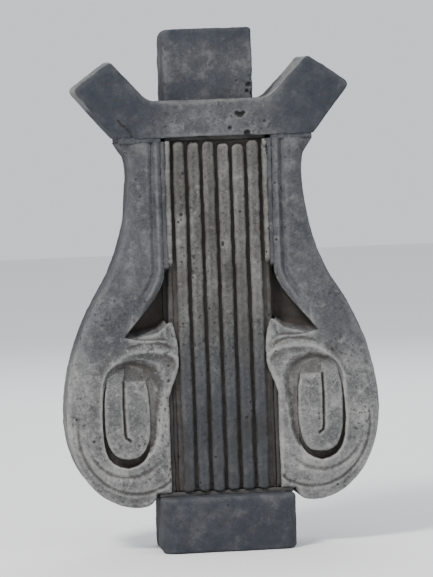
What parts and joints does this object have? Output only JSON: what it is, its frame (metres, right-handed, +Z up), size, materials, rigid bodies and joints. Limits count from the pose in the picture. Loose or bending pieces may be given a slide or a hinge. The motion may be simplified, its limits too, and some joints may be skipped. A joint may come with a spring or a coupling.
{
  "type": "stone lyre ornament",
  "caption": "Cast-stone lyre: plinth, ribbed string panel, S-shaped arms ending in long scrolls, and a horned yoke carrying a square block.",
  "frame": {"origin": "on the floor plane, under the middle of the plinth", "axes": "+Z up, front of the lyre faces -Y, +X to the right seen from the front"},
  "size_m": [0.2056, 0.056, 0.34],
  "materials": {
    "cast_stone": "weathered, sandy cast stone with dark lichen spots",
    "rib_stone": "the same stone, stained brown between the ribs",
    "mortar": "pale lime mortar",
    "dowel_steel": "dull steel"
  },
  "bodies": {
    "root": {"base_bed": "mortar", "base_block": "cast_stone", "centre_yoke_bed": "mortar", "left_arm": "cast_stone", "left_arm_bed": "mortar", "left_base_dowel": "dowel_steel", "left_bead": "cast_stone", "left_border": "rib_stone", "left_lower_tie_dowel": "dowel_steel", "left_panel_dowel": "dowel_steel", "left_scroll_core": "cast_stone", "left_scroll_pin": "dowel_steel", "left_upper_tie_dowel": "dowel_steel", "left_yoke_bed": "mortar", "left_yoke_dowel": "dowel_steel", "right_arm": "cast_stone", "right_arm_bed": "mortar", "right_base_dowel": "dowel_steel", "right_bead": "cast_stone", "right_border": "rib_stone", "right_lower_tie_dowel": "dowel_steel", "right_panel_dowel": "dowel_steel", "right_scroll_core": "cast_stone", "right_scroll_pin": "dowel_steel", "right_upper_tie_dowel": "dowel_steel", "right_yoke_bed": "mortar", "right_yoke_dowel": "dowel_steel", "string_1": "rib_stone", "string_2": "rib_stone", "string_3": "rib_stone", "string_4": "rib_stone", "string_5": "rib_stone", "string_6": "rib_stone", "string_panel": "cast_stone", "top_bed": "mortar", "top_block": "cast_stone", "top_block_dowel": "dowel_steel", "yoke": "cast_stone"}
  },
  "joints": []
}
